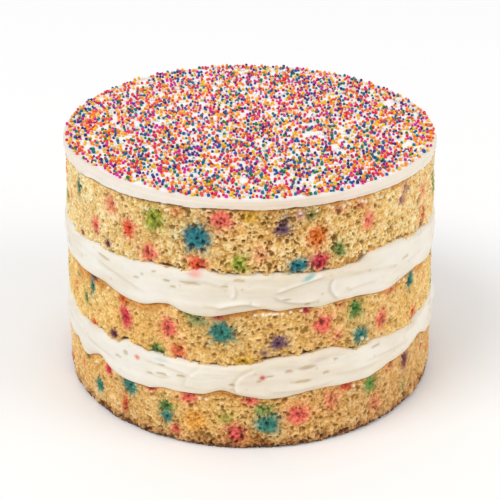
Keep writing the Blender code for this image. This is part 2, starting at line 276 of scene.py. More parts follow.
# Smudges of colour on the cream: the same as streaks, and then the colour and its strength
UPPER_DOTS = (
    (16.5, 71.6, 3.8, 1.0, 0.4, "cyan", 0.75), (-15.5, 73.4, 3.8, 2.6, 0, "blush", 0.9),
    (-32, 68.7, 1.0, 0.8, 0, "purple", 0.4),
)
LOWER_DOTS = (
    (-34.5, 32.6, 1.8, 1.4, 0, "scarlet", 0.9), (3.5, 31.8, 1.6, 1.4, 0, "crimson", 1.0),
    (11, 33.4, 1.4, 1.0, 0, "blush", 0.3), (-26, 34.8, 4.0, 1.2, 0, "cyan", 0.25),
    (20, 37.6, 4.6, 1.5, 0.1, "mauve", 0.22),
)
# Pale stray crumbs under the lips: (degrees, height)
TOP_STRAYS = (
    (14, 96.7), (19, 96.6), (23.5, 97.0), (27, 96.8), (29, 97.2), (33, 97.4), (34.5, 96.4),
    (37.5, 96.2), (39, 96.9), (40.5, 95.9), (-30, 95.0), (-24, 96.0), (120, 96.4), (186, 96.6),
    (190, 96.2),
)
MIDDLE_STRAYS = (
    (1.5, 57.5), (3.6, 57.9), (4.6, 57.6), (5.6, 57.9), (6.6, 57.7), (7.6, 57.8), (9, 57.6),
    (11.5, 58.0), (14.5, 58.2), (46, 57.6), (49.5, 57.6), (52, 57.2), (58, 57.0), (-46, 56.6),
    (34.3, 40.6), (36.2, 39.6), (131, 55.6), (134, 55.9), (224, 55.6),
)
BOTTOM_STRAYS = ((-53, 20.6), (-14.5, 21.2), (-12.5, 21.0), (31.5, 21.2), (66, 21.0), (142, 20.2))
# Dark pits along the foot of a layer, painted shade with some crust: (degrees, height over the
# foot, half length)
TOP_PITS = (
    (-44, 0.5, 1.0), (-29.5, 0.5, 1.1), (-24.5, 0.5, 3.4), (-20, 0.3, 0.9), (-9.8, 0.5, 1.3),
    (-6, 0.2, 1.0), (-3.5, 0.3, 0.9), (14, 0.4, 1.2), (45, 0.6, 1.6), (50, 0.9, 2.2),
    (54, 1.1, 1.4), (60, 0.5, 1.2), (100, 0.5, 1.4), (146, 0.4, 1.8), (203, 0.5, 1.2),
    (248, 0.5, 2.4),
)
MIDDLE_PITS = (
    (-40.5, 0.8, 1.3), (-15, 0.4, 1.0), (1.8, 0.9, 0.9), (3.8, 1.1, 1.3), (8.5, 0.7, 0.8),
    (12.3, 0.7, 0.9), (16.2, 0.6, 0.8), (17.6, 0.8, 0.8), (20, 0.6, 1.0), (22, 0.3, 0.8),
    (31, 0.5, 1.8), (110, 0.5, 1.2), (165, 0.6, 1.8), (215, 0.5, 1.0), (258, 0.4, 1.2),
)
# Smooth brown patches along the foot of a layer, skin with painted shadow under the overhang, the
# same way
TOP_PATCHES = ((29, 1.3, 8.0), (37, 0.6, 3.0), (-24, 1.0, 3.6), (128, 0.8, 5.0), (222, 0.8, 6.0))
MIDDLE_PATCHES = ((-33, 0.6, 3.0), (26, 0.6, 3.0), (150, 0.7, 5.0), (240, 0.7, 4.0))

# How finely the pieces are cut: columns go round the cake, and rows up its side
SPONGE_COLUMNS = 1300
SPONGE_ROWS = 73
CREAM_COLUMNS = 1100
CREAM_ROWS = 34
ICING_COLUMNS = 720
ICING_ROWS = 14
RIM_TURNS = (25, 50, 72, 90)  # the rings round the icing's rim, as degrees of its curve
TOP_RINGS = (*np.linspace(RADIUS - 1.2, 63, 12), *np.linspace(59, 6, 14))  # close near the rim
CURVE_STEPS = 12  # straight pieces in each stroke of the knife

FOOT_OVERLAP = 1.3  # how far a torn side goes on below its foot line
LIP_OVERLAP = 1.2  # and above its lip line, tucked in behind the cream
RIM_ROUND = 1.1  # the radius of the icing's rim
TOP_LIFT = 1.0  # how much higher the icing lies at its back than at its front

# How many of each the side that the photo doesn't show gets, a layer
BACK_STAINS = 34
BACK_STREAKS = 16
BACK_STROKES = 9
STAIN_SPACING = 8.5  # how far apart those stains are at least

DRAW_SEED = 20
ICING_SEED = 600
CLUMP_SEED = 71

# Colours of the sprinkles, linear, and each one's share
BEADS = {
    "crimson": ((0.76, 0.012, 0.07), 0.11),
    "magenta": ((0.76, 0.015, 0.32), 0.13),
    "coral": ((0.92, 0.09, 0.035), 0.13),
    "orange": ((1.0, 0.30, 0.008), 0.16),
    "yellow": ((1.0, 0.58, 0.02), 0.185),
    "green": ((0.012, 0.22, 0.04), 0.05),
    "teal": ((0.003, 0.18, 0.27), 0.085),
    "blue": ((0.004, 0.095, 0.36), 0.09),
    "purple": ((0.07, 0.01, 0.18), 0.08),
    "white": ((0.92, 0.90, 0.87), 0.10),
}
BEAD_COUNT = 4600
BEAD_FIELD = 73.0  # how far out from the middle they lie
BEAD_BORDER = 3.2  # how much more bare icing the front has than the back
BEAD_SMALLEST = 0.46  # the least radius
BEAD_SPREAD = 0.26  # how much larger the largest one's is
BEAD_SQUEEZE = 0.96  # how close two may lie, as a share of both radii
BEAD_THROW = 6000  # places tried at a time
BEAD_CELL = 1.5  # the grid in which neighbours are looked up, at least one sprinkle wide

# The stage, in metres and degrees
AIM = (0, 0, 0.05)
LIGHT_SIZE = 2.4
FLOOR_REACH = 4
CAMERA_PLACE = (0, -0.4931, 0.2939)
CAMERA_TILT = 63.38
CAMERA_LENS = 95.54  # millimetres


def line_height(line, degrees):
    """The height of a line on the side at many angles, read smoothly between its points."""
    points = sorted((at % 360, height) for at, height in line)
    xs = np.array([p[0] for p in points], float)
    ys = np.array([p[1] for p in points], float)
    turn = np.asarray(degrees, float) % 360
    after = np.searchsorted(xs, turn, side="right") % len(xs)
    i0, i1, i2, i3 = (after - 2) % len(xs), (after - 1) % len(xs), after, (after + 1) % len(xs)
    span = (xs[i2] - xs[i1]) % 360
    before = (xs[i1] - xs[i0]) % 360
    beyond = (xs[i3] - xs[i2]) % 360
    slope_in = (ys[i2] - ys[i0]) / (before + span) * span
    slope_out = (ys[i3] - ys[i1]) / (span + beyond) * span
    t = ((turn - xs[i1]) % 360) / span
    return (
        (2 * t**3 - 3 * t**2 + 1) * ys[i1]
        + (t**3 - 2 * t**2 + t) * slope_in
        + (3 * t**2 - 2 * t**3) * ys[i2]
        + (t**3 - t**2) * slope_out
    )


def side_radius(height):
    """How far out the cake's side is at a height."""
    return RADIUS + FLARE * (1 - height / HEIGHT)


def turned(degrees, at):
    """How far each angle lies from another round the cake, from -180 to 180 degrees."""
    return (degrees - at + 180) % 360 - 180


def arc(degrees):
    """The length along the side that an angle spans."""
    return np.radians(degrees) * RADIUS


def hashed(ix, iy, iz, seed):
    """Repeatable random numbers from 0 to 1, one for each whole-numbered place."""
    n = (
        ix.astype(np.uint32) * np.uint32(0x8DA6B343)
        ^ iy.astype(np.uint32) * np.uint32(0xD8163841)
        ^ iz.astype(np.uint32) * np.uint32(0xCB1AB31F)
    ) + np.uint32(seed * 374761393 % 4294967296)
    n ^= n >> np.uint32(15)
    n *= np.uint32(0x2C1B3C6D)
    n ^= n >> np.uint32(12)
    n *= np.uint32(0x297A2D39)
    n ^= n >> np.uint32(15)
    return n.astype(np.float64) / 4294967296.0


def soft_noise(points, size, seed):
    """Smooth noise from -1 to 1, whose lumps are about size across."""
    p = points / size
    base = np.floor(p).astype(np.int64)
    f = p - base
    f = f * f * f * (f * (f * 6 - 15) + 10)
    total = np.zeros(len(p))
    for dx in (0, 1):
        wx = f[:, 0] if dx else 1 - f[:, 0]
        for dy in (0, 1):
            wy = f[:, 1] if dy else 1 - f[:, 1]
            for dz in (0, 1):
                wz = f[:, 2] if dz else 1 - f[:, 2]
                corner = hashed(base[:, 0] + dx, base[:, 1] + dy, base[:, 2] + dz, seed)
                total += wx * wy * wz * corner
    return total * 2 - 1


def smears(points, length, size, seed):
    """Soft noise drawn out round the cake, as a knife leaves it."""
    return soft_noise(points * np.array([1 / length, 1 / length, 1]), size, seed)


def bubbles(points, size, smallest, largest, seed, share=1.0):
    """How deep each point lies in the bubbles of a foam, and how far inside a bubble's edge.

    Only a share of the bubbles is there, and small ones are the most common.
    """
    p = points / size
    base = np.floor(p).astype(np.int64)
    depth = np.zeros(len(p))
    inside = np.full(len(p), -9.0)
    for dx in (-1, 0, 1):
        for dy in (-1, 0, 1):
            for dz in (-1, 0, 1):
                place = base + (dx, dy, dz)
                draws = [hashed(*place.T, seed + k) for k in range(5)]
                middle = place + np.stack(draws[:3], axis=1)
                away = np.linalg.norm(p - middle, axis=1) * size
                radius = smallest + (largest - smallest) * draws[3] ** 2
                radius = np.where(draws[4] < share, radius, -9)
                inside = np.maximum(inside, radius - away)
                deep = np.maximum(np.sign(radius) * radius**2 - away**2, 0)
                depth = np.maximum(depth, np.sqrt(deep))
    return depth, inside


def washed(colours, wash, degrees):
    """The colours of whole rings, tinted differently round the cake."""
    tints = [line_height([(at, rgb[k]) for at, *rgb in wash], degrees) for k in range(3)]
    return colours * np.tile(np.stack(tints, axis=1), (len(colours) // len(degrees), 1))


def smooth_step(low, high, value):
    """0 up to low, 1 from high on, and a soft slope between them."""
    t = np.clip((value - low) / (high - low), 0, 1)
    return t * t * (3 - 2 * t)


def mixed(one, other, share):
    """One set of colours blended with another, which has its own share at each point."""
    share = np.asarray(share)[:, None]
    return np.asarray(one) * (1 - share) + np.asarray(other) * share


def on_side(angle, radius, height):
    """Points from angles round the cake in radians, and a radius and height for each or all."""
    return np.stack([radius * np.sin(angle), -radius * np.cos(angle), height + 0 * angle], axis=-1)


def core_ring(angles, level):
    """The ring inside the side at which a layer's flat bed or crown starts."""
    return on_side(angles, side_radius(CORE_LEVEL) - CORE_INSET, level)


def placed(name, data):
    """A new object in the scene."""
    made = bpy.data.objects.new(name, data)
    bpy.context.scene.collection.objects.link(made)
    return made


def wheel(name, rings, bed, crown, colours):
    """A closed turned mesh from rings of points, foot first, with a linear colour for each."""
    count, columns = len(rings), len(rings[0])
    points = np.concatenate([np.concatenate(rings), [[0, 0, bed], [0, 0, crown]]]) * MM
    column = np.arange(columns)
    after = (column + 1) % columns
    row = np.arange(count - 1)[:, None] * columns
    quads = np.stack(
        [row + column, row + after, row + columns + after, row + columns + column], axis=-1
    ).reshape(-1, 4)
    foot, top = count * columns, count * columns + 1
    last = (count - 1) * columns
    below = np.stack([np.full(columns, foot), after, column], axis=-1)
    above = np.stack([np.full(columns, top), last + column, last + after], axis=-1)
    mesh = bpy.data.meshes.new(name)
    mesh.from_pydata(points.tolist(), [], quads.tolist() + below.tolist() + above.tolist())
    mesh.shade_smooth()
    rgba = np.ones((len(points), 4), np.float32)
    rgba[:, :3] = np.clip(np.concatenate([colours, colours[-2:]]), 0, 1)
    tint = mesh.color_attributes.new("tint", "FLOAT_COLOR", "POINT")
    tint.data.foreach_set("color", rgba.ravel())
    return placed(name, mesh)


def back_stains(rng, low, high):
    """More confetti for the side that the photo doesn't show, spaced out by throwing darts."""
    found = []
    while len(found) < BACK_STAINS:
        degrees = rng.uniform(76, 284)
        height = rng.uniform(low, high)
        close = any(
            math.hypot((degrees - d) * RADIUS * math.pi / 180, height - h) < STAIN_SPACING
            for d, h, *_ in found
        )
        if not close:
            wide = rng.uniform(2.2, 4.8)
            colour = BACK_STAIN_COLOURS[rng.integers(len(BACK_STAIN_COLOURS))]
            high_half = wide * rng.uniform(0.9, 1.3)
            found.append((degrees, height, wide, high_half, colour, rng.uniform(0.6, 1)))
    return found


def crumb(flat, openness, seed):
    """Torn sponge: its relief, and how light each spot is, from 0 in a pore to 1 on a tip, as
    painted shade in the pores and painted highlight on the tips.
    """
    warp = np.stack([soft_noise(flat, 1.3, seed + k) for k in (11, 12, 13)], axis=1)
    bent = flat + 0.5 * warp
    _, flecks = bubbles(bent, 1.15, 0, 0, seed + 41)
    pores, pore_edge = bubbles(bent, 1.7, 0.2, 1.05, seed + 21, share=0.85)
    holes, hole_edge = bubbles(flat + 0.7 * warp, 3.6, 0.6, 1.9, seed + 31, share=0.4)
    rims = np.exp(-(((pore_edge + 0.16) / 0.17) ** 2)) + np.exp(-(((hole_edge + 0.22) / 0.22) ** 2))
    rims = np.clip(rims, 0, 1) * (0.4 + 0.6 * openness)
    pores = np.minimum(pores, 0.85) * (0.4 + 0.6 * openness)
    holes = np.minimum(holes, 1.2) * openness
    curls = np.maximum(1 - 2.4 * np.abs(soft_noise(bent, 1.7, seed + 56)), 0)
    tips = 0.6 * (0.61 + flecks / 1.04) + 0.3 * (curls - 0.45) + 0.35 * (rims - 0.3)
    medium = soft_noise(flat, 2.8, seed + 52)
    fine = soft_noise(flat, 0.7, seed + 53)
    relief = 1.0 * tips + 0.32 * medium + 0.3 * soft_noise(flat, 9.0, seed + 51)
    relief -= 0.7 * pores + 0.75 * holes - 0.13
    light = 0.66 + (0.8 + 0.6 * openness) * tips + 0.13 * fine + 0.2 * medium
    light -= 0.8 * pores + 0.42 * holes
    pale, _ = bubbles(bent, 1.6, 0.2, 0.6, seed + 46, share=0.4)
    pale = smooth_step(0.1, 0.35, pale)
    return relief + 0.25 * pale, np.clip(light + 0.3 * pale, 0, 1.25), medium, fine


def add_stains(stains, angle, height, relief, colours, light, grain, seed):
    """Dyes the crumb in place round each bit of confetti: a ragged star with a dark hollow."""
    degrees = np.degrees(angle)
    for number, (at, up, half_wide, half_high, colour, strength) in enumerate(stains):
        x = arc(turned(degrees, at))
        near = (np.abs(x) < half_wide * 2.4) & (np.abs(height - up) < half_high * 2.4)
        where = np.flatnonzero(near)
        if len(where) == 0:
            continue
        dx, dz = x[where] / half_wide, (height[where] - up) / half_high
        away = np.hypot(dx, dz)
        round_it = np.arctan2(dz, dx)
        phase = (number * 2.399 + seed) % TAU
        rays = 8 + (number * 5) % 6
        star = 0.5 + 0.5 * np.cos(rays * round_it + phase + 1.6 * np.sin(3 * round_it + phase))
        edge = 0.78 + 0.26 * star + 0.5 * grain[where]
        stain = np.clip(1.25 * strength * (1 - smooth_step(0.45, 1.4, away / edge)), 0, 1)
        bare = smooth_step(0.4, 1.2, away) * (0.5 * light[where] + 0.35 * (1 - star))
        stain *= 1 - np.clip(bare, 0, 0.8)
        dye = np.array(STAINS[colour])
        # The dye takes the painted shade of the pores and the painted highlight of the tips as
        # well.
        dyed = dye * (0.35 + 1.05 * light[where, None]) + 0.012 * light[where, None]
        halo = strength * (1 - smooth_step(0.7, 2.3, away)) * (0.6 + 0.5 * grain[where])
        colours[where] = mixed(colours[where], dyed, 0.22 * np.clip(halo, 0, 1))
        colours[where] = mixed(colours[where], dyed, stain)
        hollow = (1 - smooth_step(0.25, 1.1, np.hypot(dx * half_wide, dz * half_high))) * strength
        relief[where] -= 0.9 * hollow
        relief[where] -= 0.3 * stain * (1 - star) * smooth_step(0.1, 0.5, away)
        colours[where] = mixed(colours[where], dye * 0.2, 0.85 * hollow)


def spot(angle, height, at, up, half_long, half_high):
    """A soft round or oval spot on the side, 1 in its middle and 0 outside."""
    across = arc(turned(np.degrees(angle), at))
    return 1 - smooth_step(0.5, 1.1, np.hypot(across / half_long, (height - up) / half_high))


def skin_depth(skins, degrees):
    """How far down from the lip the smooth brown skin reaches."""
    depth = np.full(len(degrees), 0.35)
    for at, half_wide, deep in skins:
        away = np.abs(turned(degrees, at)) / half_wide
        depth = np.maximum(depth, deep * (1 - smooth_step(0.5, 1.0, away)))
    return depth


def bake_foot(colours, relief, flat, above_foot, light, medium, seed):
    """The foot of the layer that stands on the floor: toasted, scorched, and burnt in spots."""
    burnt, _ = bubbles(flat, 2.0, 0.5, 1.1, seed + 71, share=0.8)
    burnt = smooth_step(0.2, 0.6, burnt) * (1 - smooth_step(1.4, 5.5, above_foot + 1.5 * medium))
    colours = mixed(colours, CRUST_AND_SHADE, 0.85 * burnt)
    scorched = 1 - smooth_step(0.4, 2.3, above_foot + 0.9 * medium + 1.7 * (light - 0.8))
    colours = mixed(colours, CRUST_AND_SHADE, 0.9 * scorched)
    toasted = 1 - smooth_step(1.2, 8.0, above_foot + 2.0 * medium + 1.8 * (light - 0.7))
    colours = mixed(colours, colours * np.array(TOAST_TINT), 0.95 * toasted)
    return colours, relief - 0.5 * burnt


def tear_foot(colours, relief, flat, angle, above_foot, light, medium, fine, pits, patches, seed):
    """The foot of a layer that lies on cream: dark gaps and pits, partly crust and partly painted
    shade, and smooth brown patches of skin with painted shadow where the sponge overhangs.
    """
    # Painted shade, with some crust, in the gaps where the sponge stands off the cream.
    gap = smooth_step(0.2, 0.55, soft_noise(flat * np.array([1, 1, 0.3]), 3.4, seed + 61))
    gap *= 1 - smooth_step(0.5, 1.3, above_foot + 0.3 * fine)
    colours = mixed(colours, CRUST_AND_SHADE, 0.9 * gap)
    relief = relief - 1.2 * gap
    for at, up, half_long in patches:
        patch = spot(angle, above_foot, at, up, half_long, 1.3 + 0.4 * medium)
        colours = mixed(colours, np.array(SKIN) * (0.8 + 0.4 * light[:, None]), 0.8 * patch)
        relief = relief * (1 - 0.7 * patch)
    for at, up, half_long in pits:
        pit = spot(angle, above_foot, at, up, half_long, 0.6 + 0.15 * fine)
        colours = mixed(colours, np.array(CRUST_AND_SHADE) * 0.5, 0.9 * pit)
        relief = relief - 1.3 * pit
    return colours, relief


def sponge(
    name, lip_line, bed, crown, stains, skins, strays, wash, torn, seed,
    foot_line=None, pits=(), patches=(),
):
    """One sponge layer with its open crumb as real relief, dyed by the confetti in it.

    The layer without a foot line stands on the floor. Torn says how open its crumb is.
    """
    stands = foot_line is None
    angles = np.arange(SPONGE_COLUMNS) / SPONGE_COLUMNS * TAU
    degrees = np.degrees(angles)
    overlap = 0.0 if stands else FOOT_OVERLAP
    foot = np.zeros(SPONGE_COLUMNS) if stands else line_height(foot_line, degrees) - overlap
    lip = line_height(lip_line, degrees)
    share = np.linspace(0, 1, SPONGE_ROWS)
    angle = np.tile(angles, SPONGE_ROWS)
    height = (foot + (lip + LIP_OVERLAP - foot) * share[:, None]).ravel()
    flat = on_side(angle, side_radius(height), height)
    above_foot = height - np.tile(foot + overlap, SPONGE_ROWS)
    below_lip = np.tile(lip, SPONGE_ROWS) - height

    tone = np.tile(line_height(TONE, degrees), SPONGE_ROWS)
    openness = np.clip(4.0 - 3.3 * tone, 0.3, 1) * torn
    relief, light, medium, fine = crumb(flat, openness, seed)
    deep = np.tile(skin_depth(skins, degrees), SPONGE_ROWS)
    skin = 1 - smooth_step(0.6, 1.25, (below_lip + 0.9 * medium) / deep)
    skin *= smooth_step(0.4, 1.6, deep)
    relief *= 1 - 0.6 * skin

    # Colour from the lightness: painted shade in the pores and hollows and painted highlight on the
    # tips, over the crumb's own colour; the skin below follows it too.
    colours = mixed(CRUMB_DEEP, CRUMB_MID, smooth_step(0.0, 0.5, light))
    colours = mixed(colours, CRUMB_LIGHT, smooth_step(0.45, 1.0, light))
    colours = mixed(colours, STRAY, 0.5 * smooth_step(0.95, 1.25, light))
    even = mixed(CRUMB_MID, CRUMB_LIGHT, 0.45 + 0.2 * fine)
    colours = mixed(colours, even, 0.45 * (1 - openness))
    colours = mixed(colours, np.array(SKIN) * (0.75 + 0.5 * light[:, None]), 0.85 * skin)
    warm = smooth_step(0.0, 0.8, soft_noise(flat, 15.0, seed + 55))
    colours = mixed(colours, colours * np.array(WARM_TINT), 0.7 * warm)
    colours = washed(colours, wash, degrees) * tone[:, None] ** 1.5
    grain = 0.55 * medium + 0.45 * fine
    add_stains(stains, angle, height, relief, colours, light, grain, seed)

    for at, up in strays:
        stray = spot(angle, height, at, up, 0.85, 0.75 + 0.3 * fine)
        colours = mixed(colours, STRAY, 0.9 * stray)
        relief += 0.7 * stray

    # A thin dark line just under each lip: partly the brown crust, partly painted shadow from the
    # lip above it.
    line = 1 - smooth_step(0.05, 0.65, below_lip + 0.3 * medium)
    colours = mixed(colours, CRUST_AND_SHADE, 0.65 * line)
    if stands:
        colours, relief = bake_foot(colours, relief, flat, above_foot, light, medium, seed)
        tuck = 0.9 * (1 - smooth_step(0, 1.6, height))
    else:
        colours, relief = tear_foot(
            colours, relief, flat, angle, above_foot, light, medium, fine, pits, patches, seed
        )
        tuck = 1.5 * (1 - smooth_step(-1.2, 0.5, above_foot + 0.9 * medium + 0.5 * fine))
    tuck += 2.2 * smooth_step(0, 1.2, -below_lip) + 0.25 * line
    radius = side_radius(height) + relief - tuck

    side = on_side(angle, radius, height).reshape(SPONGE_ROWS, SPONGE_COLUMNS, 3)
    tint = colours.reshape(SPONGE_ROWS, SPONGE_COLUMNS, 3)
    painted = np.concatenate([tint[0], colours, tint[-1]])
    rings = [core_ring(angles, bed), *side, core_ring(angles, crown)]
    return wheel(name, rings, bed, crown, painted)


def add_strokes(strokes, degrees, height):
    """The edges that a knife leaves in cream, steep on one side, and the shade at their feet."""
    total, shaded = np.zeros(len(height)), np.zeros(len(height))
    share = np.linspace(0, 1, CURVE_STEPS + 1)[:, None]
    for start, bend, end, rise, width in strokes:
        curve = (1 - share) ** 2 * start + 2 * share * (1 - share) * bend + share**2 * end
        x, z = arc(turned(degrees, bend[0])), height
        nearest, signed, along = np.full(len(x), 99.0), np.zeros(len(x)), np.zeros(len(x))
        cx, cz = arc(curve[:, 0] - bend[0]), curve[:, 1]
        for i in range(CURVE_STEPS):
            dx, dz = cx[i + 1] - cx[i], cz[i + 1] - cz[i]
            t = np.clip(((x - cx[i]) * dx + (z - cz[i]) * dz) / (dx * dx + dz * dz), 0, 1)
            ox, oz = x - cx[i] - t * dx, z - cz[i] - t * dz
            away = np.hypot(ox, oz)
            closer = away < nearest
            nearest = np.where(closer, away, nearest)
            signed = np.where(closer, np.sign(dx * oz - dz * ox) * away, signed)
            along = np.where(closer, (i + t) / CURVE_STEPS, along)
        fade = smooth_step(0.0, 0.2, along) * (1 - smooth_step(0.8, 1.0, along))
        steep = np.exp(-((signed / (width * 0.3)) ** 2))
        shape = np.where(signed < 0, steep, np.exp(-signed / (width * 1.5)))
        total += rise * fade * shape
        foot = np.exp(-(((signed + 0.55 * width) / (0.45 * width)) ** 2))
        shaded = np.maximum(shaded, rise * fade * foot)
    return total, shaded


def streak_mask(streaks, degrees, height, core=0.65):
    """Small ovals pressed into the cream, full strength out to core and soft from there."""
    total = np.zeros(len(height))
    for at, up, half_long, half_wide, slope in streaks:
        turn = turned(degrees, at)
        away = np.hypot(arc(turn) / half_long, (height - up - slope * turn) / half_wide)
        total = np.maximum(total, 1 - smooth_step(core, 1.15, away))
    return total


def back_marks(rng, low, high):
    """Streaks for the unseen side."""
    found = []
    for _ in range(BACK_STREAKS):
        place = rng.uniform(66, 294), rng.uniform(low, high)
        found.append((*place, rng.uniform(0.8, 3.6), rng.uniform(0.4, 0.6), 0.0))
    return found


def back_strokes(rng, low, high):
    """Strokes of the knife for the unseen side."""
    found = []
    for number in range(BACK_STROKES):
        start = 68 + (number + rng.uniform(0, 0.6)) * 225 / BACK_STROKES
        foot = rng.uniform(low + 2, high - 3)
        end = start + rng.uniform(10, 22)
        top = foot + rng.uniform(-2, 3)
        bend = (start + end) / 2, (foot + top) / 2 + rng.uniform(-4, 4)
        found.append(
            ((start, foot), bend, (end, top), rng.uniform(0.4, 0.9), rng.uniform(1.4, 2.2))
        )
    return found


def cream(name, lip_line, ceiling_line, bed, crown, wash, streaks, strokes, dots, seed):
    """A filling spread with a knife: a round lower lip, long smears and small pressed streaks."""
    angles = np.arange(CREAM_COLUMNS) / CREAM_COLUMNS * TAU
    degrees = np.degrees(angles)
    ring = on_side(angles, RADIUS, 0)
    lip = line_height(lip_line, degrees) + 0.3 * soft_noise(ring, 5.0, seed + 1)
    ceiling = line_height(ceiling_line, degrees)
    share = np.linspace(0, 1, CREAM_ROWS) ** 1.15  # closer together near the lip
    angle = np.tile(angles, CREAM_ROWS)
    height = (lip + (ceiling - lip) * share[:, None]).ravel()
    flat = on_side(angle, side_radius(height), height)
    above_lip = height - np.tile(lip, CREAM_ROWS)
    below_top = np.tile(ceiling, CREAM_ROWS) - height

    long_smears = smears(flat, 7, 2.0, seed + 2)
    broad = smears(flat, 2, 8.0, seed + 3)
    grain = smears(flat, 4, 0.8, seed + 4)
    turn = np.degrees(angle)
    mark = streak_mask(streaks, turn, height)
    ridge, shaded = add_strokes(strokes, turn, height)
    holes, _ = bubbles(flat, 2.3, 0.35, 0.85, seed + 11, share=0.35)
    holes = smooth_step(0.1, 0.5, holes)
    holes *= smooth_step(-0.6, 0.3, soft_noise(flat, 9.0, seed + 12))
    proud = 1.0 + 0.4 * broad + 0.26 * long_smears + 0.07 * grain + ridge - 0.4 * mark
    proud -= 0.25 * holes
    lip_round = 0.4 + 0.6 * np.sqrt(1 - (1 - np.clip(above_lip / 2.2, 0, 1)) ** 2)
    top_tuck = 1.5 * (1 - smooth_step(-0.2, 1.6, below_top + 0.4 * grain))
    radius = side_radius(height) + proud * lip_round - top_tuck
    side = on_side(angle, radius, height).reshape(CREAM_ROWS, CREAM_COLUMNS, 3)

    # Painted shade following the knife's smears, partly tan smudges too, and darker towards the
    # lower lip.
    shade = smooth_step(-0.35, 0.9, 0.7 * broad + 0.6 * long_smears + 0.2 * grain)
    shade_and_smudge = 0.6 * shade + 0.4 * (1 - smooth_step(0.3, 3.0, above_lip))
    colours = mixed(CREAM, CREAM_SHADE, shade_and_smudge)
    # Painted highlight along the crests of the knife's edges, and painted shade at their feet.
    colours = mixed(colours, CREAM_PAINTED_HIGHLIGHT, 0.9 * smooth_step(0.35, 0.85, ridge))
    shaded = np.clip(shaded, 0, 1) * (1 - smooth_step(0.2, 0.6, ridge))
    colours = mixed(colours, CREAM_TAN, 0.5 * shaded)
    colours = mixed(colours, CREAM_TAN, 0.26 * holes)
    # Tan streak marks, then the cream's painted shade round the cake.
    colours = washed(mixed(colours, CREAM_TAN, 0.8 * mark), wash, degrees)
    for *smudge, colour, strength in dots:
        mask = streak_mask([smudge], turn, height, core=0.1)
        colours = mixed(colours, STAINS[colour], strength * mask)
    tint = colours.reshape(CREAM_ROWS, CREAM_COLUMNS, 3)

    shoulder = on_side(angles, side_radius(lip) - 2.2, lip + 1.0)
    tucked = on_side(angles, side_radius(ceiling) - 1.8, ceiling - 0.1)
    rings = [core_ring(angles, bed), shoulder, *side, tucked, core_ring(angles, crown)]
    painted = np.concatenate([tint[0], tint[0], colours, tint[-1], tint[-1]])
    return wheel(name, rings, bed, crown, painted)


def icing_height(x, y):
    """The height of the icing's top, which rises a little towards its back on the left."""
    toward_back = np.clip((0.87 * y - 0.5 * x) / RADIUS, -1, 1)
    point = np.stack([x, y, 0 * x], axis=-1)
    rise = TOP_LIFT * (0.5 + 0.5 * toward_back) ** 2
    return HEIGHT + rise + 0.14 * soft_noise(point, 11.0, ICING_SEED + 3)


def icing(name, bed, seed):
    """The top's thin icing, with a softly rounded rim and a slightly uneven lower edge."""
    angles = np.arange(ICING_COLUMNS) / ICING_COLUMNS * TAU
    degrees = np.degrees(angles)
    every = np.ones(ICING_COLUMNS)
    ring = on_side(angles, RADIUS, 0)
    foot = line_height(ICING_FOOT, degrees) + 0.3 * soft_noise(ring, 5.0, seed)
    foot += 0.22 * soft_noise(ring, 1.6, seed + 6)
    outer = RADIUS + 0.9 + 0.25 * soft_noise(ring, 9.0, seed + 1)
    outer = outer + 0.16 * soft_noise(ring, 2.6, seed + 7)
    rings = [
        on_side(angles, RADIUS - CORE_INSET, bed),
        on_side(angles, RADIUS - 2.2, foot + 0.9),
        on_side(angles, outer - 0.9, foot + 0.05),
    ]
    tints = [np.tile(ICING_SIDE, (ICING_COLUMNS, 1))] * len(rings)
    rim = icing_height(outer * np.sin(angles), -outer * np.cos(angles)) - RIM_ROUND
    rim += 0.18 * soft_noise(ring, 5.0, seed + 8)
    for share in np.linspace(0, 1, ICING_ROWS):
        height = foot + 0.25 + (rim - foot - 0.25) * share
        point = on_side(angles, outer, height)
        wave = smears(point, 8, 1.5, seed + 2)
        lip = 0.45 * (1 - smooth_step(0, 0.16, share))
        lumps = soft_noise(point, 1.2, seed + 9)
        rings.append(on_side(angles, outer + 0.25 * wave + 0.12 * lumps - lip, height))
        # Tan smudges, stronger towards the foot, and painted shade in the hollows between the
        # lumps.
        smudge = smooth_step(0.0, 0.6, smears(point, 5, 1.8, seed + 5))
        shade_and_smudge = 0.3 * smudge * (1 - 0.6 * share) + 0.12 * np.clip(-lumps, 0, 1)
        tints.append(mixed(ICING_SIDE, CREAM_TAN, shade_and_smudge))
    # The rounded rim is tinted darker: painted shade.
    for turn in RIM_TURNS:
        bend = math.radians(turn)
        radius = outer - RIM_ROUND * (1 - math.cos(bend))
        rings.append(on_side(angles, radius, rim + RIM_ROUND * math.sin(bend)))
        tints.append(mixed(ICING_SIDE, CREAM_SHADE, 0.3 * every))
    side = len(rings) * ICING_COLUMNS
    # The top's outer border takes the side's darker colour: painted shade where the edge rounds
    # over.
    for radius in TOP_RINGS:
        x, y = radius * np.sin(angles), -radius * np.cos(angles)
        rings.append(np.stack([x, y, icing_height(x, y)], axis=-1))
        tints.append(mixed(ICING_TOP, ICING_SIDE, every * smooth_step(68.5, 71.0, radius)))
    crown = float(icing_height(np.zeros(1), np.zeros(1))[0])
    painted = np.concatenate(tints)
    painted[:side] = washed(painted[:side], ICING_WASH, degrees)
    return wheel(name, rings, bed, crown, painted)


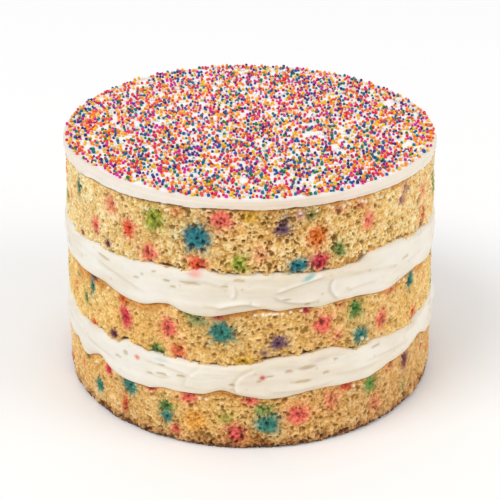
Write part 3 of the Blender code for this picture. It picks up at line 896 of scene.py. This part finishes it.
def bead_places(rng):
    """Where the sprinkles lie: thrown at random, clear of each other, thinned into clumps."""
    grid, places = {}, []
    while len(places) < BEAD_COUNT:
        spread = BEAD_FIELD * np.sqrt(rng.uniform(0, 1, BEAD_THROW))
        turn = rng.uniform(0, TAU, BEAD_THROW)
        xy = np.stack([spread * np.cos(turn), spread * np.sin(turn), np.zeros(BEAD_THROW)], axis=1)
        clump = np.clip(0.5 + 0.95 * soft_noise(xy * np.array([0.6, 1, 1]), 1.5, CLUMP_SEED), 0, 1)
        front = smooth_step(0.15, 0.75, -np.sin(turn))
        edge = BEAD_FIELD - BEAD_BORDER * front - spread
        thin = 1 - 0.3 * smooth_step(-0.5, 0.7, spread / BEAD_FIELD * np.sin(turn))
        likely = (0.1 + 0.9 * clump) * thin * smooth_step(0.0, 0.9, edge)
        keep = rng.uniform(0, 1, BEAD_THROW) < likely
        radii = BEAD_SMALLEST + BEAD_SPREAD * rng.uniform(0, 1, BEAD_THROW) ** 0.9
        for (x, y, _), r in zip(xy[keep], radii[keep]):
            cell = (int(x // BEAD_CELL), int(y // BEAD_CELL))
            near = [
                other
                for i in (-1, 0, 1)
                for j in (-1, 0, 1)
                for other in grid.get((cell[0] + i, cell[1] + j), ())
            ]
            if all(math.hypot(x - ox, y - oy) > (r + o) * BEAD_SQUEEZE for ox, oy, o in near):
                grid.setdefault(cell, []).append((x, y, r))
                places.append((x, y, r))
                if len(places) == BEAD_COUNT:
                    break
    return np.array(places)


def ball():
    """The points and faces of a unit ball made of 80 triangles."""
    made = bmesh.new()
    bmesh.ops.create_icosphere(made, subdivisions=2, radius=1)
    points = np.array([v.co for v in made.verts])
    faces = np.array([[v.index for v in f.verts] for f in made.faces])
    made.free()
    return points, faces


def scatter(name, places, points, faces):
    """One mesh of many balls. Each place is (x, y, z, radius), in millimetres."""
    all_points = places[:, None, :3] + points[None] * places[:, None, 3:]
    all_points = all_points.reshape(-1, 3) * MM
    all_faces = faces[None] + (np.arange(len(places)) * len(points))[:, None, None]
    mesh = bpy.data.meshes.new(name)
    mesh.from_pydata(all_points.tolist(), [], all_faces.reshape(-1, 3).tolist())
    mesh.shade_smooth()
    return placed(name, mesh)


def feed(node, values):
    """Sets a node's inputs by their names."""
    for name, value in values.items():
        node.inputs[name].default_value = value


def new_material(name, roughness):
    """A material, its node tree and its shader."""
    made = bpy.data.materials.new(name)
    made.use_nodes = True
    shader = made.node_tree.nodes["Principled BSDF"]
    feed(shader, {"Roughness": roughness})
    return made, made.node_tree, shader


def noise_node(tree, scale):
    """Noise that is fixed to the object."""
    place = tree.nodes.new("ShaderNodeTexCoord")
    noise = tree.nodes.new("ShaderNodeTexNoise")
    feed(noise, {"Scale": scale, "Detail": 2.0})
    tree.links.new(place.outputs["Object"], noise.inputs["Vector"])
    return noise


def add_bump(tree, shader, scale, strength, distance):
    """A fine grain on top of the relief that the mesh has."""
    noise = noise_node(tree, scale)
    bump = tree.nodes.new("ShaderNodeBump")
    feed(bump, {"Strength": strength, "Distance": distance})
    tree.links.new(noise.outputs["Fac"], bump.inputs["Height"])
    tree.links.new(bump.outputs["Normal"], shader.inputs["Normal"])


def varied(tree, base, scale, low, high):
    """The base colour darkened and lightened a little by noise."""
    noise = noise_node(tree, scale)
    span = tree.nodes.new("ShaderNodeMapRange")
    feed(span, {"From Min": 0.3, "From Max": 0.7, "To Min": low, "To Max": high})
    tree.links.new(noise.outputs["Fac"], span.inputs["Value"])
    mix = tree.nodes.new("ShaderNodeMix")
    mix.data_type = "RGBA"
    mix.blend_type = "MULTIPLY"
    feed(mix, {"Factor": 1})
    tree.links.new(base, mix.inputs["A"])
    tree.links.new(span.outputs["Result"], mix.inputs["B"])
    return mix.outputs["Result"]


def grainy_material(name, roughness, grain, bump, colour=None, specular=0.5):
    """A material of one colour, or without it of the mesh's own colours.

    Grain is the scale of its noise and how far that darkens and lightens the colour. Bump is the
    scale, strength and distance of its bumps.
    """
    made, tree, shader = new_material(name, roughness)
    feed(shader, {"Specular IOR Level": specular})
    if colour is None:
        base = tree.nodes.new("ShaderNodeVertexColor")
        base.layer_name = "tint"
    else:
        base = tree.nodes.new("ShaderNodeRGB")
        base.outputs["Color"].default_value = (*colour, 1)
    tree.links.new(varied(tree, base.outputs["Color"], *grain), shader.inputs["Base Color"])
    add_bump(tree, shader, *bump)
    return made


def dress(piece, node, material):
    """Gives a piece its material and its place in the frame."""
    piece.data.materials.append(material)
    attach(piece, "root")
    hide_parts(node)


def area_light(name, place, power):
    """A large round soft light that faces the cake."""
    data = bpy.data.lights.new(name, "AREA")
    data.shape = "DISK"
    data.size = LIGHT_SIZE
    data.energy = power
    lamp = placed(name, data)
    lamp.location = place
    lamp.rotation_euler = (Vector(AIM) - Vector(place)).to_track_quat("-Z", "Y").to_euler()


def set_stage():
    """A pale floor, a white studio and the camera at the photo's angle."""
    scene = bpy.context.scene
    scene.view_settings.view_transform = "Standard"
    world = bpy.data.worlds.new("studio")
    world.use_nodes = True
    feed(world.node_tree.nodes["Background"], {"Color": (1, 1, 1, 1), "Strength": 0.7})
    scene.world = world

    area_light("key", place=(-2.2, -1.5, 4.0), power=76)
    area_light("fill", place=(3.3, -1.2, 2.4), power=36)

    mesh = bpy.data.meshes.new("floor")
    corners = [(-1, -1), (1, -1), (1, 1), (-1, 1)]
    points = [(x * FLOOR_REACH, y * FLOOR_REACH, 0) for x, y in corners]
    mesh.from_pydata(points, [], [(0, 1, 2, 3)])
    made, _, shader = new_material("floor_white", 0.9)
    feed(shader, {"Base Color": (0.96, 0.96, 0.96, 1)})
    mesh.materials.append(made)
    placed("floor", mesh)

    camera = bpy.data.cameras.new("camera")
    camera.lens = CAMERA_LENS
    camera.sensor_width = 36
    eye = placed("camera", camera)
    eye.location = CAMERA_PLACE
    eye.rotation_euler = (math.radians(CAMERA_TILT), 0, 0)
    scene.camera = eye


def main():
    """Makes every piece. All the random draws come from one seed, in this order."""
    rng = np.random.default_rng(DRAW_SEED)
    crumb_look = grainy_material("open_crumb", 0.9, (1500, 0.81, 1.16), (1900, 0.5, 0.0006))
    butter = grainy_material("buttercream_smeared", 0.5, (120, 0.97, 1.02), (900, 0.12, 0.0003))
    sugar = grainy_material("icing_smeared", 0.5, (150, 0.97, 1.02), (700, 0.15, 0.0003))

    # Each layer's place, the heights between which its back gets confetti, and its shape
    layers = (
        ("bottom", (3, 20), dict(
            lip_line=LOWER_LIP, bed=0.0, crown=27.5, stains=BOTTOM_STAINS, skins=BOTTOM_SKIN,
            strays=BOTTOM_STRAYS, wash=BOTTOM_WASH, torn=0.85,
        )),
        ("middle", (39, 56), dict(
            foot_line=MIDDLE_FOOT, lip_line=UPPER_LIP, bed=35.4, crown=62.2, stains=MIDDLE_STAINS,
            skins=MIDDLE_SKIN, strays=MIDDLE_STRAYS, pits=MIDDLE_PITS, patches=MIDDLE_PATCHES,
            wash=MIDDLE_WASH, torn=0.75,
        )),
        ("top", (76, 95), dict(
            foot_line=TOP_FOOT, lip_line=ICING_FOOT, bed=71.6, crown=97.7, stains=TOP_STAINS,
            skins=TOP_SKIN, strays=TOP_STRAYS, pits=TOP_PITS, patches=TOP_PATCHES, wash=TOP_WASH,
            torn=1.15,
        )),
    )
    for number, (place, band, layer) in enumerate(layers):
        layer["stains"] = list(layer["stains"]) + back_stains(rng, *band)
        piece = sponge("crumb_" + place, seed=100 * number + 7, **layer)
        dress(piece, "sponge_" + place, crumb_look)

    fillings = (
        ("lower", dict(
            lip_line=LOWER_LIP, ceiling_line=MIDDLE_FOOT, bed=27.8, crown=35.1, wash=LOWER_SHADE_WASH,
            streaks=LOWER_STREAKS, strokes=LOWER_STROKES, dots=LOWER_DOTS,
        )),
        ("upper", dict(
            lip_line=UPPER_LIP, ceiling_line=TOP_FOOT, bed=62.5, crown=71.3, wash=UPPER_SHADE_WASH,
            streaks=UPPER_STREAKS, strokes=UPPER_STROKES, dots=UPPER_DOTS,
        )),
    )
    for number, (place, filling) in enumerate(fillings):
        band = (filling["lip_line"][0][1] + 4, filling["ceiling_line"][0][1] - 3)
        filling["streaks"] = list(filling["streaks"]) + back_marks(rng, *band)
        filling["strokes"] = list(filling["strokes"]) + back_strokes(rng, *band)
        piece = cream("buttercream_" + place, seed=400 + 50 * number, **filling)
        dress(piece, "cream_" + place, butter)

    dress(icing("icing_disc", bed=98.0, seed=ICING_SEED), "icing_top", sugar)

    places = bead_places(rng)
    lift = places[:, 2] * rng.uniform(0.55, 0.95, len(places))
    top = icing_height(places[:, 0], places[:, 1])
    beads = np.column_stack([places[:, :2], top + lift, places[:, 2]])
    shares = np.array([share for _, share in BEADS.values()])
    pick = rng.choice(len(BEADS), len(beads), p=shares / shares.sum())
    points, faces = ball()
    for number, (colour, (rgb, _)) in enumerate(BEADS.items()):
        piece = scatter("sprinkles_" + colour, beads[pick == number], points, faces)
        name, grain, bump = "sugar_" + colour, (260, 0.8, 1.1), (2500, 0.1, 0.0002)
        shell = grainy_material(name, 0.25, grain, bump, colour=rgb, specular=0.25)
        dress(piece, "icing_top", shell)

    set_stage()


main()
